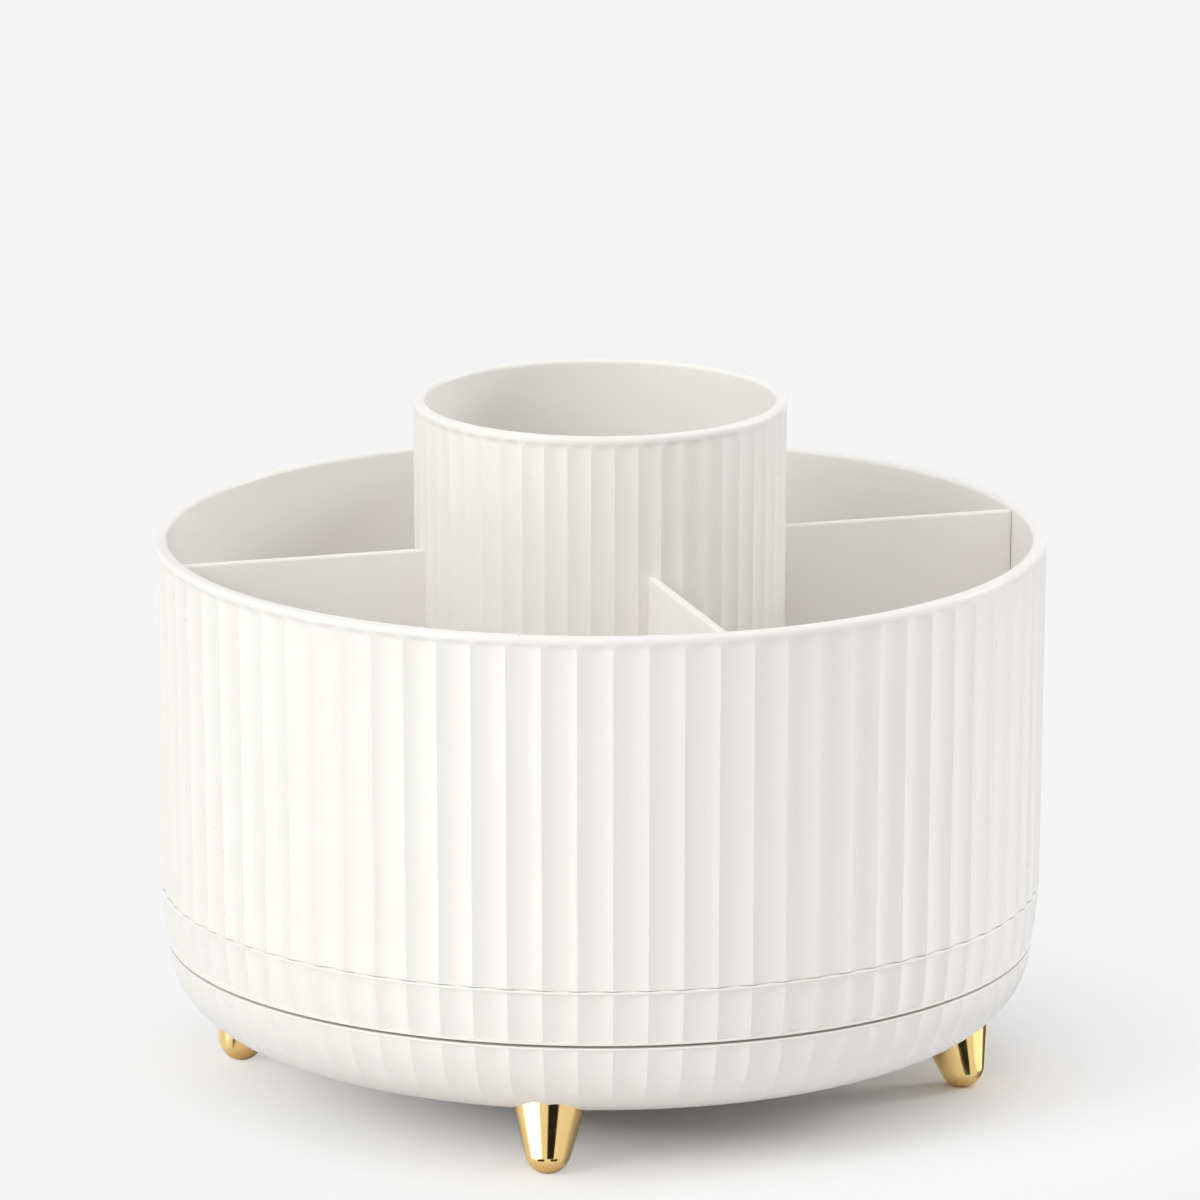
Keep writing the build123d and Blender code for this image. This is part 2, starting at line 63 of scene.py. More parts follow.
CUP_TOP_Z = DRUM_TOP_Z + CUP_RISE
BASE_FLOOR_Z = GROUND_CLEARANCE + BASE_FLOOR
DECK_Z = BASE_RIM_Z - 5.6
BALL_Z = DECK_Z + 5.45
UPPER_TRACK_Z = BALL_Z + 1.85
PLATE_Z = UPPER_TRACK_Z + 2.4
PLATE_TOP_Z = PLATE_Z + PLATE_THICKNESS
POST_END_Z = DECK_Z - 6.2

# Radii on the ridges of the flutes, walls, roundings and the bowl's curve
RIM_RADIUS = 100.0
DRUM_FOOT_RADIUS = 98.9
TURNTABLE_TOP_RADIUS = 98.85
TURNTABLE_RADIUS = 97.4
TURNTABLE_BELLY = [(97.9, 36.0), (98.27, 39.1), (98.62, 42.4)]
BASE_RIM_RADIUS = 97.3
BASE_FLAT_RADIUS = 64.0
BOWL_PULL = 0.65
BOWL_LEAN = 0.1
BOWL_STEPS = 24
INSIDE_STEPS = 10
CUP_RIM_RADIUS = 41.8
CUP_FOOT_RADIUS = 41.0
DRUM_WALL = 3.2
CUP_WALL = 2.6
RIM_ROUND = 0.9
FLOOR_ROUND = 1.0
EDGE_ROUND = 0.2

# Inside of the bowl: the points that its cubic curve follows
BOWL_INSIDE = [
    (BASE_FLAT_RADIUS, BASE_FLOOR_Z), (75.5, BASE_FLOOR_Z), (92.1, DECK_Z - 4.9), (92.7, DECK_Z),
]

# Flutes: how many, how deep, the angle of the first ridge from the front, and where they end
DRUM_FLUTES = 80
DRUM_FLUTE_DEPTH = 0.8
DRUM_FLUTE_PHASE = 1.66
CUP_FLUTES = 50
CUP_FLUTE_DEPTH = 0.45
CUP_FLUTE_PHASE = 4.5
STEPS_PER_FLUTE = 8
EDGE_BAND = 0.5
EDGE_STEP = 0.12
FLUTE_RUNOUT_LOW = 13.0
FLUTE_RUNOUT_HIGH = 18.0

# Flutes under a lip: drop below the top in mm and share of the full depth
FLUTE_END = [
    (3.2, 1.0), (2.75, 0.94), (2.35, 0.78), (2.0, 0.5), (1.75, 0.24), (1.5, 0.06), (1.3, 0.0),
]

# Corners and round shapes of the meshes: segments of a rounding, the flat kept beside it, and sides
ROUND_SEGMENTS = 5
ROUND_HOLD = 0.3
BORE_SIDES = 24
POST_SIDES = 48
HOLLOW_SIDES = 160

# Dividers and feet, with angles from the front towards +X
DIVIDER_ANGLE = 16.5
DIVIDER_THICKNESS = 2.0
DIVIDER_DROP = 0.8
DIVIDER_GROOVE = 0.4
DIVIDER_CLEARANCE = 0.15
DIVIDER_TOP_CLEARANCE = 0.16
DIVIDER_ROUND = 0.6
FOOT_ANGLE = -8.0
FOOT_RING_RADIUS = 83.3
FOOT_TILT = 12.0
FOOT_HALF_ANGLE = 15.0
FOOT_TIP_RADIUS = 4.05
FOOT_NOSE_RADIUS = 5.2
FOOT_LENGTH = 17.5
FOOT_POCKET_CLEARANCE = 0.12
FOOT_BOSS_WALL = 2.2
FOOT_BOSS_RISE = 5.5
FOOT_SIDES = 96
FOOT_CONE_STEPS = 5
FOOT_NOSE_STEPS = 12

# Hidden inside: posts, bores and screws
DECK_POST_RADIUS = 76.0
DECK_POST_ANGLE = 37.0
DECK_POST_SIZE = 5.2
DECK_POST_DROP = 4.0
COUNTERBORE_RADIUS = 3.6
COUNTERBORE_DEPTH = 4.2
SCREW_HOLE_RADIUS = 1.7
SCREW_BOSS_RADIUS = 4.0
SCREW_PILOT_RADIUS = 1.55
DRUM_PILOT_DEPTH = 5.4
CUP_PILOT_DEPTH = 3.4
DRUM_SCREW_CIRCLE = 80.0
CUP_SCREW_CIRCLE = 28.0
PIVOT_POST_RADIUS = 8.0
PIVOT_PILOT_RADIUS = 2.05
PIVOT_PILOT_DEPTH = 11.2

# Hidden inside: the rib under the drum, its well, the cup's seat and the linings of the shells
RIB_INNER_RADIUS = 93.76
RIB_OUTER_RADIUS = 95.36
RIB_HEIGHT = 2.0
WELL_TOP_RADIUS = 95.9
WELL_FLOOR_RADIUS = 95.11
SEAM_LEDGE_RADIUS = 98.0
TURNTABLE_LINING_RADIUS = 94.4
BASE_LINING_RADIUS = 94.1
CUP_SEAT_RADIUS = 38.4

# Hidden inside: the ball track
TRACK_RADIUS = 60.0
TRACK_HALF_WIDTH = 3.5
GROOVE_RADIUS = 3.05
GROOVE_EDGE_ANGLE = 37.35
GROOVE_STEPS = 6
BALL_RADIUS = 2.97
BALL_COUNT = 12


# Camera: a long lens a little above the rim, straight from the front
SENSOR_WIDTH = 36.0
FOCAL_LENGTH = 365.35
CAMERA_PLACE = (0.0, -2.6559, 0.7442)
CAMERA_DIP = 13.437


def add_camera():
    lens = bpy.data.cameras.new("camera")
    lens.sensor_width = SENSOR_WIDTH
    lens.lens = FOCAL_LENGTH
    camera = bpy.data.objects.new("camera", lens)
    camera.location = CAMERA_PLACE
    camera.rotation_euler = (math.radians(90.0 - CAMERA_DIP), 0.0, 0.0)
    bpy.context.scene.collection.objects.link(camera)
    bpy.context.scene.camera = camera


add_camera()


# Mesh helpers
def around(radius, angle, height):
    """Point in metres at a radius, an angle from the front and a height in mm."""
    turn = math.radians(angle)
    return Vector((radius * math.sin(turn), -radius * math.cos(turn), height)) * MM


def rounded(corners):
    """Closed profile of (radius, height, flute depth) from corners that also give a rounding."""
    points = []
    for index, (radius, height, depth, rounding) in enumerate(corners):
        corner = Vector((radius, height))
        if rounding == 0.0:
            points.append((radius, height, depth))
            continue
        before = corners[index - 1]
        after = corners[(index + 1) % len(corners)]
        back = (Vector(before[:2]) - corner).normalized()
        ahead = (Vector(after[:2]) - corner).normalized()
        half = back.angle(ahead) / 2.0
        reach = rounding / math.tan(half)
        start = corner + back * reach
        end = corner + ahead * reach
        middle = corner + (back + ahead).normalized() * rounding / math.sin(half)
        first = start - middle
        turn = math.pi - 2.0 * half
        side = 1.0 if first.x * (end - middle).y - first.y * (end - middle).x > 0 else -1.0
        points.append((*(start + back * ROUND_HOLD), depth))
        for step in range(ROUND_SEGMENTS + 1):
            swing = side * turn * step / ROUND_SEGMENTS
            spoke = Vector((
                first.x * math.cos(swing) - first.y * math.sin(swing),
                first.x * math.sin(swing) + first.y * math.cos(swing),
            ))
            points.append((*(middle + spoke), depth))
        points.append((*(end + ahead * ROUND_HOLD), depth))
    return points


def turn_profile(mesh, profile, sides, flutes=0, phase=0.0, centre=(0.0, 0.0)):
    """Adds the closed shell that a profile makes when turned about a vertical axis. The centre is
    that axis as (radius, angle), and the depth of each flute's hollow is a parabola."""
    offset = around(centre[0], centre[1], 0.0)
    columns = []
    for side in range(sides):
        share = (side * flutes / sides) % 1.0
        hollow = 1.0 - (2.0 * share - 1.0) ** 2
        angle = phase + side * 360.0 / sides
        column = []
        for radius, height, depth in profile:
            column.append(mesh.verts.new(around(radius - depth * hollow, angle, height) + offset))
        columns.append(column)
    for left, right in zip(columns, columns[1:] + columns[:1]):
        for index in range(len(profile)):
            after = (index + 1) % len(profile)
            mesh.faces.new((left[index], right[index], right[after], left[after]))


def screw_boss(end_z, pilot_depth, floor_z):
    """Profile of a boss under a floor, with a pilot hole that goes up from its end."""
    return [
        (0.0, end_z + pilot_depth, 0.0), (SCREW_PILOT_RADIUS, end_z + pilot_depth, 0.0),
        (SCREW_PILOT_RADIUS, end_z, 0.0), (SCREW_BOSS_RADIUS, end_z, 0.0),
        (SCREW_BOSS_RADIUS, floor_z + 0.1, 0.0), (0.0, floor_z + 0.1, 0.0),
    ]


def weld(mesh):
    """Merges the doubled points of a bmesh and turns its faces outwards."""
    bmesh.ops.remove_doubles(mesh, verts=mesh.verts, dist=0.002 * MM)
    bmesh.ops.recalc_face_normals(mesh, faces=mesh.faces)


def combine(mesh, shape, operation):
    """New bmesh from two closed ones: their UNION, INTERSECT or DIFFERENCE. Frees both."""
    pair = []
    for source in (mesh, shape):
        weld(source)
        data = bpy.data.meshes.new("solid")
        source.to_mesh(data)
        source.free()
        solid = bpy.data.objects.new("solid", data)
        bpy.context.scene.collection.objects.link(solid)
        pair.append(solid)
    modifier = pair[0].modifiers.new("combine", "BOOLEAN")
    modifier.operation = operation
    modifier.object = pair[1]
    modifier.solver = "EXACT"
    bpy.context.view_layer.update()
    result = bmesh.new()
    result.from_object(pair[0], bpy.context.evaluated_depsgraph_get())
    for solid in pair:
        bpy.data.objects.remove(solid)
    return result


def finish_piece(mesh, name, body, material, replaced, crease=28.0):
    """Turns a bmesh into a smooth-shaded piece that rides on a body."""
    weld(mesh)
    data = bpy.data.meshes.new(name)
    mesh.to_mesh(data)
    mesh.free()
    data.shade_smooth()
    data.set_sharp_from_angle(angle=math.radians(crease))
    data.materials.append(material)
    piece = bpy.data.objects.new(name, data)
    bpy.context.scene.collection.objects.link(piece)
    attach(piece, body)
    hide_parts(*replaced)


# Materials. A colour Mix node has its two colours and its result at these places.
MIX_A = 6
MIX_B = 7
MIX_RESULT = 2


def linear(colour):
    """Linear colour, with full alpha, of an sRGB hex value."""
    channels = []
    for place in (1, 3, 5):
        value = int(colour[place:place + 2], 16) / 255.0
        channels.append(value / 12.92 if value <= 0.04045 else ((value + 0.055) / 1.055) ** 2.4)
    return (*channels, 1.0)


def add_node(tree, kind, values=None, links=None, **settings):
    """Adds a node, sets its properties and sockets, and links its inputs to other outputs."""
    new = tree.nodes.new(kind)
    for name, value in settings.items():
        setattr(new, name, value)
    for socket, value in (values or {}).items():
        new.inputs[socket].default_value = value
    for socket, source in (links or {}).items():
        tree.links.new(source, new.inputs[socket])
    return new


def new_material(name):
    """Empty node material, its tree, its output node and the position in metres."""
    material = bpy.data.materials.new(name)
    material.use_nodes = True
    tree = material.node_tree
    tree.nodes.clear()
    output = add_node(tree, "ShaderNodeOutputMaterial")
    position = add_node(tree, "ShaderNodeTexCoord").outputs["Object"]
    return material, tree, output, position


def moulded_abs(name, light, shade, gloss, texture_size, texture_height):
    """Injection-moulded ABS: a faint flow mottle, a fine orange-peel skin and uneven gloss."""
    material, tree, output, position = new_material(name)
    flow = add_node(
        tree, "ShaderNodeTexNoise",
        {"Scale": 1.0 / (45.0 * MM), "Detail": 2.0, "Roughness": 0.5},
        {"Vector": position},
    )
    colour = add_node(
        tree, "ShaderNodeMix",
        {MIX_A: linear(light), MIX_B: linear(shade)},
        {"Factor": flow.outputs["Fac"]},
        data_type="RGBA",
    )
    skin = add_node(
        tree, "ShaderNodeTexNoise",
        {"Scale": 1.0 / (texture_size * MM), "Detail": 3.0, "Roughness": 0.6},
        {"Vector": position},
    )
    sheen = add_node(
        tree, "ShaderNodeMapRange",
        {"From Min": 0.3, "From Max": 0.7, "To Min": gloss - 0.03, "To Max": gloss + 0.04},
        {"Value": skin.outputs["Fac"]},
    )
    bump = add_node(
        tree, "ShaderNodeBump",
        {"Strength": 0.15, "Distance": texture_height * MM},
        {"Height": skin.outputs["Fac"]},
    )
    shader = add_node(
        tree, "ShaderNodeBsdfPrincipled",
        {"IOR": 1.53, "Specular IOR Level": 0.22},
        {
            "Base Color": colour.outputs[MIX_RESULT],
            "Roughness": sheen.outputs["Result"],
            "Normal": bump.outputs["Normal"],
        },
    )
    tree.links.new(shader.outputs["BSDF"], output.inputs["Surface"])
    return material


def plated_gold():
    """Gold electroplate over polished metal: mirror-like, with the faint haze of the polish."""
    material, tree, output, position = new_material("gold_electroplate")
    haze = add_node(
        tree, "ShaderNodeTexNoise",
        {"Scale": 1.0 / (2.5 * MM), "Detail": 4.0, "Roughness": 0.55},
        {"Vector": position},
    )
    gloss = add_node(
        tree, "ShaderNodeMapRange",
        {"From Min": 0.3, "From Max": 0.7, "To Min": 0.07, "To Max": 0.13},
        {"Value": haze.outputs["Fac"]},
    )
    colour = add_node(
        tree, "ShaderNodeMix",
        {MIX_A: linear("#FADA98"), MIX_B: linear("#F1CC86")},
        {"Factor": haze.outputs["Fac"]},
        data_type="RGBA",
    )
    bump = add_node(
        tree, "ShaderNodeBump",
        {"Strength": 0.08, "Distance": 0.02 * MM},
        {"Height": haze.outputs["Fac"]},
    )
    shader = add_node(
        tree, "ShaderNodeBsdfPrincipled",
        {"Metallic": 1.0},
        {
            "Base Color": colour.outputs[MIX_RESULT],
            "Roughness": gloss.outputs["Result"],
            "Normal": bump.outputs["Normal"],
        },
    )
    tree.links.new(shader.outputs["BSDF"], output.inputs["Surface"])
    return material


def zinc_steel(name, light, shade, gloss):
    """Zinc-plated or polished steel: fine machining lines and a cool tone."""
    material, tree, output, position = new_material(name)
    lines = add_node(
        tree, "ShaderNodeTexNoise",
        {"Scale": 1.0 / (0.6 * MM), "Detail": 3.0},
        {"Vector": position},
    )
    colour = add_node(
        tree, "ShaderNodeMix",
        {MIX_A: linear(light), MIX_B: linear(shade)},
        {"Factor": lines.outputs["Fac"]},
        data_type="RGBA",
    )
    rough = add_node(
        tree, "ShaderNodeMapRange",
        {"To Min": gloss - 0.05, "To Max": gloss + 0.05},
        {"Value": lines.outputs["Fac"]},
    )
    shader = add_node(
        tree, "ShaderNodeBsdfPrincipled",
        {"Metallic": 1.0},
        {"Base Color": colour.outputs[MIX_RESULT], "Roughness": rough.outputs["Result"]},
    )
    tree.links.new(shader.outputs["BSDF"], output.inputs["Surface"])
    return material


glossy_white = moulded_abs("white_abs", "#F7F5F1", "#F3F1EC", 0.30, 1.4, 0.01)
inner_white = moulded_abs("inner_abs", "#ECEAE4", "#E6E3DC", 0.5, 0.8, 0.02)
acetal = moulded_abs("acetal", "#EFEAD8", "#E8E2CE", 0.45, 0.8, 0.02)
gold = plated_gold()
screw_steel = zinc_steel("zinc_plated_steel", "#C9CBCE", "#B3B6BA", 0.32)
ball_steel = zinc_steel("polished_ball_steel", "#D5D6D8", "#C8CACD", 0.10)

for name, material in {
    "bearing_deck": inner_white,
    "ball_cage": acetal,
    "pivot_washer": screw_steel,
    "pivot_screw": screw_steel,
    "drum_screws": screw_steel,
    "cup_screws": screw_steel,
    "deck_screws": screw_steel,
    "foot_screws": screw_steel,
}.items():
    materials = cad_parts[name].data.materials
    materials.clear()
    materials.append(material)


# Drum: fluted wall, smooth rim, floor, the rib under it and its screw bosses
def drum_radius(height):
    """Radius of the drum's ridges at a height."""
    share = (height - DRUM_Z) / DRUM_HEIGHT
    return DRUM_FOOT_RADIUS + share * (RIM_RADIUS - DRUM_FOOT_RADIUS)


def make_drum():
    fading_wall = [
        (drum_radius(DRUM_TOP_Z - drop), DRUM_TOP_Z - drop, share * DRUM_FLUTE_DEPTH, 0.0)
        for drop, share in FLUTE_END
    ]
    corners = [
        (0.0, DRUM_Z, 0.0, 0.0),
        (RIB_INNER_RADIUS, DRUM_Z, 0.0, 0.0),
        (RIB_INNER_RADIUS, DRUM_Z - RIB_HEIGHT, 0.0, 0.0),
        (RIB_OUTER_RADIUS, DRUM_Z - RIB_HEIGHT, 0.0, 0.0),
        (RIB_OUTER_RADIUS, DRUM_Z, 0.0, 0.0),
        (DRUM_FOOT_RADIUS, DRUM_Z, DRUM_FLUTE_DEPTH, EDGE_ROUND),
        *fading_wall,
        (RIM_RADIUS, DRUM_TOP_Z, 0.0, RIM_ROUND),
        (RIM_RADIUS - DRUM_WALL, DRUM_TOP_Z, 0.0, RIM_ROUND),
        (DRUM_FOOT_RADIUS - DRUM_WALL, DRUM_FLOOR_Z, 0.0, FLOOR_ROUND),
        (0.0, DRUM_FLOOR_Z, 0.0, 0.0),
    ]
    mesh = bmesh.new()
    turn_profile(
        mesh, rounded(corners), DRUM_FLUTES * STEPS_PER_FLUTE, DRUM_FLUTES, DRUM_FLUTE_PHASE
    )
    boss = screw_boss(PLATE_TOP_Z, DRUM_PILOT_DEPTH, DRUM_Z)
    for quarter in range(4):
        centre = (DRUM_SCREW_CIRCLE, DIVIDER_ANGLE + 45.0 + 90.0 * quarter)
        turn_profile(mesh, boss, BORE_SIDES, centre=centre)
    finish_piece(mesh, "drum_shell", "carousel", glossy_white, ["drum"])


# Turntable: the lower fluted band, with its plate, track and post
def make_turntable():
    seam_z = DRUM_Z - SEAM_GAP
    groove = []
    for step in range(GROOVE_STEPS + 1):
        arc = 180.0 - 2 * GROOVE_EDGE_ANGLE
        swing = math.radians(GROOVE_EDGE_ANGLE + step * arc / GROOVE_STEPS)
        groove.append((
            TRACK_RADIUS - GROOVE_RADIUS * math.cos(swing),
            BALL_Z + GROOVE_RADIUS * math.sin(swing),
            0.0, 0.0,
        ))
    corners = [
        (0.0, POST_END_Z + PIVOT_PILOT_DEPTH, 0.0, 0.0),
        (PIVOT_PILOT_RADIUS, POST_END_Z + PIVOT_PILOT_DEPTH, 0.0, 0.0),
        (PIVOT_PILOT_RADIUS, POST_END_Z, 0.0, 0.0),
        (PIVOT_POST_RADIUS, POST_END_Z, 0.0, 0.0),
        (PIVOT_POST_RADIUS, PLATE_Z, 0.0, 0.0),
        (TRACK_RADIUS - TRACK_HALF_WIDTH, PLATE_Z, 0.0, 0.0),
        (TRACK_RADIUS - TRACK_HALF_WIDTH, UPPER_TRACK_Z, 0.0, 0.0),
        *groove,
        (TRACK_RADIUS + TRACK_HALF_WIDTH, UPPER_TRACK_Z, 0.0, 0.0),
        (TRACK_RADIUS + TRACK_HALF_WIDTH, PLATE_Z, 0.0, 0.0),
        (TURNTABLE_LINING_RADIUS, PLATE_Z, 0.0, 0.0),
        (TURNTABLE_LINING_RADIUS, TURNTABLE_Z, 0.0, 0.0),
        (TURNTABLE_RADIUS, TURNTABLE_Z, 0.0, EDGE_ROUND),
        (TURNTABLE_RADIUS, TURNTABLE_Z + EDGE_BAND, 0.0, 0.0),
        (TURNTABLE_RADIUS, TURNTABLE_Z + EDGE_BAND + EDGE_STEP, DRUM_FLUTE_DEPTH, 0.0),
        *[(radius, height, DRUM_FLUTE_DEPTH, 0.0) for radius, height in TURNTABLE_BELLY],
        (TURNTABLE_TOP_RADIUS, seam_z - EDGE_BAND - EDGE_STEP, DRUM_FLUTE_DEPTH, 0.0),
        (TURNTABLE_TOP_RADIUS, seam_z - EDGE_BAND, 0.0, 0.0),
        (TURNTABLE_TOP_RADIUS, seam_z, 0.0, EDGE_ROUND),
        (SEAM_LEDGE_RADIUS, seam_z, 0.0, 0.0),
        (SEAM_LEDGE_RADIUS, DRUM_Z, 0.0, 0.0),
        (WELL_TOP_RADIUS, DRUM_Z, 0.0, 0.0),
        (WELL_FLOOR_RADIUS, PLATE_TOP_Z, 0.0, 0.0),
        (0.0, PLATE_TOP_Z, 0.0, 0.0),
    ]
    mesh = bmesh.new()
    turn_profile(
        mesh, rounded(corners), DRUM_FLUTES * STEPS_PER_FLUTE, DRUM_FLUTES, DRUM_FLUTE_PHASE
    )
    finish_piece(
        mesh, "turntable_shell", "carousel", glossy_white, ["turntable"]
    )


# Bearing balls, a hair under size so that they clear the flats of the tracks' meshes as they roll
def make_balls():
    mesh = bmesh.new()
    for index in range(BALL_COUNT):
        centre = around(TRACK_RADIUS, 90.0 + index * 360.0 / BALL_COUNT, BALL_Z)
        bmesh.ops.create_uvsphere(
            mesh, u_segments=32, v_segments=20, radius=BALL_RADIUS * MM,
            matrix=Matrix.Translation(centre),
        )
    finish_piece(
        mesh, "rolling_balls", "cage", ball_steel, ["bearing_balls"], crease=60.0
    )


# Base: the fluted bowl that stands still
def foot_radius(along):
    """Radius of a foot's cone at a distance along its axis."""
    return FOOT_TIP_RADIUS + along * math.tan(math.radians(FOOT_HALF_ANGLE))


def bezier(points, steps):
    """Points along a cubic curve."""
    curve = []
    for step in range(steps + 1):
        t = step / steps
        weights = ((1 - t) ** 3, 3 * t * (1 - t) ** 2, 3 * t * t * (1 - t), t ** 3)
        curve.append((
            sum(weight * point[0] for weight, point in zip(weights, points)),
            sum(weight * point[1] for weight, point in zip(weights, points)),
        ))
    return curve


def bowl_flute_depth(height):
    """Depth of the bowl's flutes at a height: they run out just above its underside."""
    share = (height - FLUTE_RUNOUT_LOW) / (FLUTE_RUNOUT_HIGH - FLUTE_RUNOUT_LOW)
    share = min(max(share, 0.0), 1.0)
    return DRUM_FLUTE_DEPTH * share * share * (3.0 - 2.0 * share)


def make_base():
    """The bowl with the posts for the deck and the bosses and pockets for the feet."""
    band_z = BASE_RIM_Z - EDGE_BAND
    drop = BOWL_PULL * (band_z - GROUND_CLEARANCE)
    run = BOWL_PULL * (BASE_RIM_RADIUS - BASE_FLAT_RADIUS)
    bowl = bezier([
        (BASE_RIM_RADIUS, band_z),
        (BASE_RIM_RADIUS - BOWL_LEAN * drop, band_z - drop),
        (BASE_FLAT_RADIUS + run, GROUND_CLEARANCE),
        (BASE_FLAT_RADIUS, GROUND_CLEARANCE),
    ], BOWL_STEPS)
    inside = bezier(BOWL_INSIDE, INSIDE_STEPS)
    corners = [
        (0.0, GROUND_CLEARANCE, 0.0, 0.0),
        *[(radius, height, bowl_flute_depth(height), 0.0)
          for radius, height in reversed(bowl[1:])],
        (BASE_RIM_RADIUS, band_z - EDGE_STEP, DRUM_FLUTE_DEPTH, 0.0),
        (BASE_RIM_RADIUS, band_z, 0.0, 0.0),
        (BASE_RIM_RADIUS, BASE_RIM_Z, 0.0, EDGE_ROUND),
        (BASE_LINING_RADIUS, BASE_RIM_Z, 0.0, 0.0),
        (BASE_LINING_RADIUS, DECK_Z, 0.0, 0.0),
        *[(radius, height, 0.0, 0.0) for radius, height in reversed(inside)],
        (0.0, BASE_FLOOR_Z, 0.0, 0.0),
    ]
    mesh = bmesh.new()
    turn_profile(
        mesh, rounded(corners), DRUM_FLUTES * STEPS_PER_FLUTE, DRUM_FLUTES, DRUM_FLUTE_PHASE
    )
    seat_z = GROUND_CLEARANCE + COUNTERBORE_DEPTH
    overlap = 0.2
    posts, hollow, bores = bmesh.new(), bmesh.new(), bmesh.new()
    hollow_line = [
        (radius + overlap, height - overlap, 0.0) for radius, height in reversed(inside)
    ]
    turn_profile(
        hollow, [(0.0, BASE_FLOOR_Z - overlap, 0.0), *hollow_line, (0.0, DECK_Z, 0.0)],
        HOLLOW_SIDES,
    )
    for quarter in range(4):
        centre = (DECK_POST_RADIUS, DECK_POST_ANGLE + 90.0 * quarter)
        turn_profile(posts, [
            (0.0, GROUND_CLEARANCE, 0.0), (DECK_POST_SIZE, GROUND_CLEARANCE, 0.0),
            (DECK_POST_SIZE, DECK_Z - DECK_POST_DROP, 0.0), (0.0, DECK_Z - DECK_POST_DROP, 0.0),
        ], POST_SIDES, centre=centre)
        turn_profile(bores, [
            (0.0, 0.0, 0.0), (COUNTERBORE_RADIUS, 0.0, 0.0), (COUNTERBORE_RADIUS, seat_z, 0.0),
            (SCREW_HOLE_RADIUS, seat_z, 0.0), (SCREW_HOLE_RADIUS, DECK_Z, 0.0), (0.0, DECK_Z, 0.0),
        ], POST_SIDES, centre=centre)
        angle = FOOT_ANGLE + 90.0 * quarter
        boss_radius = foot_radius(FOOT_LENGTH) + FOOT_BOSS_WALL
        foot_rings(posts, angle, [(0.0, boss_radius), (FOOT_LENGTH + FOOT_BOSS_RISE, boss_radius)])
        foot_rings(bores, angle, [
            (along, foot_radius(along) + FOOT_POCKET_CLEARANCE)
            for along in (0.0, FOOT_LENGTH)
        ])
    posts = combine(posts, hollow, "INTERSECT")
    mesh = combine(combine(mesh, posts, "UNION"), bores, "DIFFERENCE")
    finish_piece(mesh, "base_bowl", "base", glossy_white, ["base_shell"])


# Centre cup
def make_cup():
    rise = CUP_TOP_Z - DRUM_FLOOR_Z
    flare = CUP_RIM_RADIUS - CUP_FOOT_RADIUS
    fading_wall = []
    for drop, share in FLUTE_END:
        height = CUP_TOP_Z - drop
        radius = CUP_FOOT_RADIUS + flare * (height - DRUM_FLOOR_Z) / rise
        fading_wall.append((radius, height, share * CUP_FLUTE_DEPTH, 0.0))
    corners = [
        (0.0, CUP_SEAT_Z, 0.0, 0.0),
        (CUP_SEAT_RADIUS, CUP_SEAT_Z, 0.0, 0.0),
        (CUP_SEAT_RADIUS, DRUM_FLOOR_Z, 0.0, 0.0),
        (CUP_FOOT_RADIUS, DRUM_FLOOR_Z, CUP_FLUTE_DEPTH, EDGE_ROUND),
        *fading_wall,
        (CUP_RIM_RADIUS, CUP_TOP_Z, 0.0, RIM_ROUND),
        (CUP_RIM_RADIUS - CUP_WALL, CUP_TOP_Z, 0.0, RIM_ROUND),
        (CUP_FOOT_RADIUS - CUP_WALL, CUP_SEAT_Z + CUP_FLOOR, 0.0, FLOOR_ROUND),
        (0.0, CUP_SEAT_Z + CUP_FLOOR, 0.0, 0.0),
    ]
    mesh = bmesh.new()
    turn_profile(mesh, rounded(corners), CUP_FLUTES * STEPS_PER_FLUTE, CUP_FLUTES, CUP_FLUTE_PHASE)
    boss = screw_boss(DRUM_FLOOR_Z, CUP_PILOT_DEPTH, CUP_SEAT_Z)
    for third in range(3):
        centre = (CUP_SCREW_CIRCLE, DIVIDER_ANGLE + 45.0 + 120.0 * third)
        turn_profile(mesh, boss, BORE_SIDES, centre=centre)
    finish_piece(mesh, "cup_shell", "carousel", glossy_white, ["brush_cup"])


# Dividers: flat panels with a rounded top edge
def make_divider(name, angle):
    top = DRUM_TOP_Z - DIVIDER_DROP
    inner = CUP_FOOT_RADIUS - CUP_FLUTE_DEPTH - DIVIDER_GROOVE
    outer_low = DRUM_FOOT_RADIUS - DRUM_WALL - DIVIDER_CLEARANCE
    outer_high = RIM_RADIUS - DRUM_WALL - DIVIDER_TOP_CLEARANCE
    outline = [(inner, DRUM_FLOOR_Z), (outer_low, DRUM_FLOOR_Z), (outer_high, top), (inner, top)]
    across = around(DIVIDER_THICKNESS / 2.0, angle + 90.0, 0.0)
    mesh = bmesh.new()
    sides = []
    for sign in (-1.0, 1.0):
        sides.append([mesh.verts.new(around(r, angle, z) + sign * across) for r, z in outline])
    mesh.faces.new(sides[0])
    mesh.faces.new(list(reversed(sides[1])))
    for index in range(4):
        after = (index + 1) % 4
        mesh.faces.new((sides[0][index], sides[1][index], sides[1][after], sides[0][after]))
    top_edges = [
        edge for edge in mesh.edges
        if all(abs(vert.co.z - top * MM) < 1e-6 for vert in edge.verts)
        and edge.calc_length() > 10.0 * MM
    ]
    bmesh.ops.bevel(
        mesh, geom=top_edges, offset=DIVIDER_ROUND * MM, segments=ROUND_SEGMENTS, profile=0.5,
        affect="EDGES",
    )
    finish_piece(
        mesh, name + "_panel", "carousel", glossy_white, [name], crease=40.0
    )


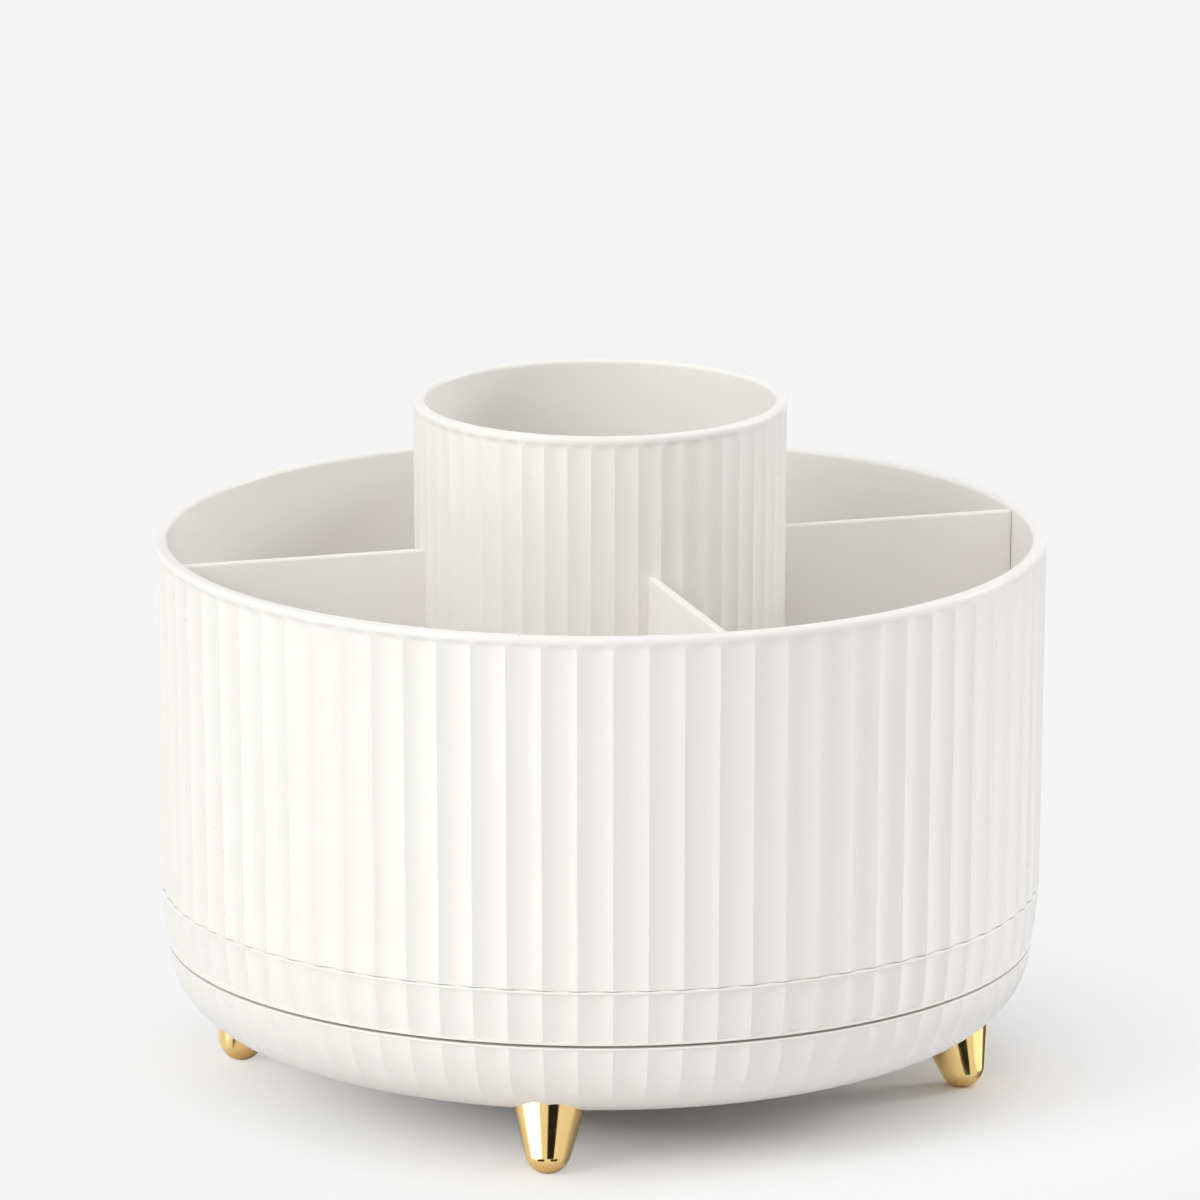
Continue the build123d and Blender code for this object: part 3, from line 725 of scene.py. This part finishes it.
# Feet: splayed cones with a round nose that is flat on the table
def foot_frame(angle):
    """Place of a foot on the table, its own axis, and two directions across it."""
    tilt = math.radians(FOOT_TILT)
    outward = around(1.0 / MM, angle, 0.0)
    axis = outward * -math.sin(tilt) + Vector((0, 0, math.cos(tilt)))
    across = outward * math.cos(tilt) + Vector((0, 0, math.sin(tilt)))
    return around(FOOT_RING_RADIUS, angle, 0.0), axis, across, axis.cross(across)


def close_columns(mesh, columns):
    """Faces between the columns of points of a round shape, and its two ends."""
    for left, right in zip(columns, columns[1:] + columns[:1]):
        for index in range(len(left) - 1):
            mesh.faces.new((left[index], right[index], right[index + 1], left[index + 1]))
    mesh.faces.new([column[0] for column in columns])
    mesh.faces.new([column[-1] for column in reversed(columns)])


def foot_rings(mesh, angle, rings):
    """Adds a closed shape about a foot's axis from rings of (distance along it, radius)."""
    foot, axis, across, sideways = foot_frame(angle)
    columns = []
    for side in range(FOOT_SIDES):
        turn = math.radians(360.0 * side / FOOT_SIDES)
        spoke = across * math.cos(turn) + sideways * math.sin(turn)
        columns.append([mesh.verts.new(foot + (axis * a + spoke * r) * MM) for a, r in rings])
    close_columns(mesh, columns)


def make_foot(name, angle):
    """A cone that runs into a round nose, cut flat where it stands on the table."""
    foot, axis, across, sideways = foot_frame(angle)
    half = math.radians(FOOT_HALF_ANGLE)
    nose_along = (FOOT_NOSE_RADIUS / math.cos(half) - FOOT_TIP_RADIUS) / math.tan(half)
    nose = foot + axis * nose_along * MM
    tangent_along = nose_along - FOOT_NOSE_RADIUS * math.sin(half)
    mesh = bmesh.new()
    columns = []
    for side in range(FOOT_SIDES):
        turn = math.radians(360.0 * side / FOOT_SIDES)
        spoke = across * math.cos(turn) + sideways * math.sin(turn)
        column = []
        for step in range(FOOT_CONE_STEPS + 1):
            along = FOOT_LENGTH + (tangent_along - FOOT_LENGTH) * step / FOOT_CONE_STEPS
            column.append(foot + (axis * along + spoke * foot_radius(along)) * MM)
        reach = math.hypot(spoke.z, axis.z)
        last = math.acos(-nose.z / MM / FOOT_NOSE_RADIUS / reach) - math.atan2(axis.z, spoke.z)
        for step in range(1, FOOT_NOSE_STEPS + 1):
            swing = half + (last - half) * step / FOOT_NOSE_STEPS
            column.append(
                nose + (spoke * math.cos(swing) - axis * math.sin(swing)) * FOOT_NOSE_RADIUS * MM
            )
        column.append(column[-1].lerp(Vector((foot.x, foot.y, 0.0)), 0.2))
        columns.append([mesh.verts.new(point) for point in column])
    close_columns(mesh, columns)
    finish_piece(mesh, name + "_cone", "base", gold, [name], crease=50.0)


make_drum()
make_turntable()
make_balls()
make_base()
make_cup()
for index, side_name in enumerate(("front", "right", "rear", "left")):
    make_divider("divider_" + side_name, DIVIDER_ANGLE + 90.0 * index)
    make_foot("foot_" + side_name, FOOT_ANGLE + 90.0 * index)


# Floor, lights and surroundings
AIM_HEIGHT = 0.08


def add_floor():
    """Pale floor that keeps the object's shadow and runs into the plain backdrop around it."""
    mesh = bmesh.new()
    bmesh.ops.create_grid(mesh, x_segments=8, y_segments=8, size=7.0)
    data = bpy.data.meshes.new("floor")
    mesh.to_mesh(data)
    mesh.free()
    material, tree, output, position = new_material("matt_floor_paint")
    mottle = add_node(
        tree, "ShaderNodeTexNoise",
        {"Scale": 1.0 / (300.0 * MM), "Detail": 1.0},
        {"Vector": position},
    )
    colour = add_node(
        tree, "ShaderNodeMix",
        {MIX_A: linear("#FAFAFA"), MIX_B: linear("#F9F9F9")},
        {"Factor": mottle.outputs["Fac"]},
        data_type="RGBA",
    )

    # The paint is paler for the camera than for light that it throws on
    rays = add_node(tree, "ShaderNodeLightPath")
    toned = add_node(
        tree, "ShaderNodeMix",
        {MIX_A: linear("#E4E4E4")},
        {"Factor": rays.outputs["Is Camera Ray"], MIX_B: colour.outputs[MIX_RESULT]},
        data_type="RGBA",
    )
    lit = add_node(tree, "ShaderNodeBsdfDiffuse", None, {"Color": toned.outputs[MIX_RESULT]})

    # Away from the shadow the camera sees the plain tone of the backdrop
    plain = add_node(tree, "ShaderNodeEmission", {"Color": linear("#F5F5F5"), "Strength": 1.0})
    reach = add_node(
        tree, "ShaderNodeVectorMath", {1: (0.03, 0.01, 0.0)}, {0: position}, operation="DISTANCE"
    )
    fade = add_node(
        tree, "ShaderNodeMapRange", {"From Min": 0.058, "From Max": 0.155},
        {"Value": reach.outputs["Value"]},
    )
    share = add_node(
        tree, "ShaderNodeMath", None,
        {0: fade.outputs["Result"], 1: rays.outputs["Is Camera Ray"]}, operation="MULTIPLY",
    )
    direct = add_node(
        tree, "ShaderNodeMixShader", None,
        {0: share.outputs[0], 1: lit.outputs[0], 2: plain.outputs[0]},
    )

    # Reflections pass through to the panels, except very near a foot and under the middle
    far = add_node(
        tree, "ShaderNodeMapRange", {"From Min": 0.002, "From Max": 0.006},
        {"Value": rays.outputs["Ray Length"]},
    )
    radius = add_node(tree, "ShaderNodeVectorMath", None, {0: position}, operation="LENGTH")
    outside = add_node(
        tree, "ShaderNodeMapRange", {"From Min": 0.07, "From Max": 0.09},
        {"Value": radius.outputs["Value"]},
    )
    open_floor = add_node(
        tree, "ShaderNodeMath", None,
        {0: far.outputs["Result"], 1: outside.outputs["Result"]}, operation="MULTIPLY",
    )
    passed = add_node(
        tree, "ShaderNodeMath", None,
        {0: open_floor.outputs[0], 1: rays.outputs["Is Glossy Ray"]}, operation="MULTIPLY",
    )
    clear = add_node(tree, "ShaderNodeBsdfTransparent")
    shader = add_node(
        tree, "ShaderNodeMixShader", None,
        {0: passed.outputs[0], 1: direct.outputs[0], 2: clear.outputs[0]},
    )
    tree.links.new(shader.outputs["Shader"], output.inputs["Surface"])
    data.materials.append(material)
    floor = bpy.data.objects.new("floor", data)
    bpy.context.scene.collection.objects.link(floor)


def add_light(name, place, size, power, colour):
    """Round area lamp, in metres and watts, that points at the middle of the object."""
    lamp = bpy.data.lights.new(name, "AREA")
    lamp.shape = "DISK"
    lamp.size = size
    lamp.energy = power
    lamp.color = linear(colour)[:3]
    light = bpy.data.objects.new(name, lamp)
    light.location = place
    aim = Vector((0.0, 0.0, AIM_HEIGHT)) - Vector(place)
    light.rotation_euler = aim.to_track_quat("-Z", "Y").to_euler()
    bpy.context.scene.collection.objects.link(light)


def add_panel(name, place, facing, width, height, stops, power=1.0):
    """Upright studio panel that only polished surfaces show. Place and size are in metres, facing
    is its angle from the front, and the stops give (share of the width, grey) across it."""
    mesh = bmesh.new()
    bmesh.ops.create_grid(mesh, x_segments=2, y_segments=2, size=0.5)
    data = bpy.data.meshes.new(name)
    mesh.to_mesh(data)
    mesh.free()
    material, tree, output, position = new_material(name + "_cloth")
    axes = add_node(tree, "ShaderNodeSeparateXYZ", None, {0: position})
    share = add_node(tree, "ShaderNodeMath", {1: 0.5}, {0: axes.outputs["X"]}, operation="ADD")
    ramp = add_node(tree, "ShaderNodeValToRGB", None, {0: share.outputs[0]})
    ramp.color_ramp.interpolation = "EASE"
    while len(ramp.color_ramp.elements) < len(stops):
        ramp.color_ramp.elements.new(0.5)
    for element, (where, grey) in zip(ramp.color_ramp.elements, stops):
        element.position = where
        element.color = (grey, grey, grey, 1.0)
    glow = add_node(
        tree, "ShaderNodeEmission", {"Strength": power}, {"Color": ramp.outputs["Color"]}
    )
    tree.links.new(glow.outputs["Emission"], output.inputs["Surface"])
    data.materials.append(material)
    panel = bpy.data.objects.new(name, data)
    panel.location = place
    panel.scale = (width, height, 1.0)
    panel.rotation_euler = (math.radians(90.0), 0.0, math.radians(facing))
    bpy.context.scene.collection.objects.link(panel)
    panel.visible_camera = False
    panel.visible_diffuse = False
    panel.visible_transmission = False
    panel.visible_shadow = False


def add_far_panel(name, low, high, bottom, top, stops, power=1.0, distance=1.6):
    """Panel that fills two angles from the front and two angles above the table."""
    middle = math.radians((low + high) / 2.0)
    place = (
        distance * math.sin(middle),
        -distance * math.cos(middle),
        distance * (math.tan(math.radians(bottom)) + math.tan(math.radians(top))) / 2.0,
    )
    width = 2.0 * distance * math.tan(math.radians(high - low) / 2.0)
    height = distance * (math.tan(math.radians(top)) - math.tan(math.radians(bottom)))
    add_panel(name, place, math.degrees(middle), width, height, stops, power)


def add_world():
    """Soft dome, brighter in front than behind, with a plain pale backdrop for what is seen."""
    world = bpy.data.worlds.new("studio")
    bpy.context.scene.world = world
    world.use_nodes = True
    tree = world.node_tree
    tree.nodes.clear()
    rays = add_node(tree, "ShaderNodeLightPath")
    direct = add_node(
        tree, "ShaderNodeMath", None,
        {0: rays.outputs["Is Camera Ray"], 1: rays.outputs["Is Transmission Ray"]},
        operation="MAXIMUM",
    )
    seen = add_node(
        tree, "ShaderNodeMath", None,
        {0: direct.outputs[0], 1: rays.outputs["Is Glossy Ray"]}, operation="MAXIMUM",
    )
    direction = add_node(tree, "ShaderNodeTexCoord").outputs["Generated"]
    depth = add_node(tree, "ShaderNodeSeparateXYZ", None, {0: direction}).outputs["Y"]
    dome = add_node(
        tree, "ShaderNodeMapRange",
        {"From Min": -0.8, "From Max": 0.8, "To Min": 0.78, "To Max": 0.58},
        {"Value": depth}, interpolation_type="SMOOTHSTEP",
    )
    soft = add_node(
        tree, "ShaderNodeBackground", {"Color": linear("#FDFDFF")}, {"Strength": dome.outputs[0]}
    )
    backdrop = add_node(
        tree, "ShaderNodeBackground", {"Color": linear("#F6F6F6"), "Strength": 1.0}
    )
    mix = add_node(
        tree, "ShaderNodeMixShader", None,
        {0: seen.outputs[0], 1: soft.outputs[0], 2: backdrop.outputs[0]},
    )
    add_node(tree, "ShaderNodeOutputWorld", None, {"Surface": mix.outputs[0]})


# Greys across a panel, as (share of its width, grey)
BLACK_CLOTH = [(0.0, 0.02), (1.0, 0.02)]
WHITE_CARD = [(0.0, 1.0), (1.0, 1.0)]
SOFT_EDGE = [(0.0, 0.2), (0.3, 1.0), (1.0, 1.0)]
FALLING_GREY = [(0.0, 0.92), (0.42, 0.88), (0.6, 0.35), (0.74, 0.14), (1.0, 0.12)]

add_floor()
add_light("key", (-1.68, -1.41, 1.2), 1.2, 16.0, "#FFFEFA")
add_light("overhead", (-0.3, -0.6, 2.4), 1.6, 9.0, "#FFFFFF")
add_light("left_edge", (-2.1, 0.6, 0.8), 0.7, 2.5, "#FFFFFF")
add_light("right_edge", (2.0, 0.9, 0.8), 0.7, 16.0, "#FFFFFF")
add_far_panel("softbox", -95.0, -31.0, -30.0, 10.0, SOFT_EDGE, power=4.5)
add_far_panel("front_flag", -4.0, 28.0, -29.0, 0.0, BLACK_CLOTH)
add_far_panel("low_flag_left", -55.0, -18.0, -41.0, -30.5, BLACK_CLOTH)
add_far_panel("low_flag_right", 13.0, 50.0, -41.0, -30.5, BLACK_CLOTH)
add_far_panel("grey_wall", 32.0, 150.0, -50.0, 40.0, FALLING_GREY, distance=1.9)
add_panel("side_card", (0.25, 0.015, -0.01), 90.0, 0.156, 0.135, WHITE_CARD, power=1.4)
add_world()
bpy.context.scene.view_settings.view_transform = "Standard"
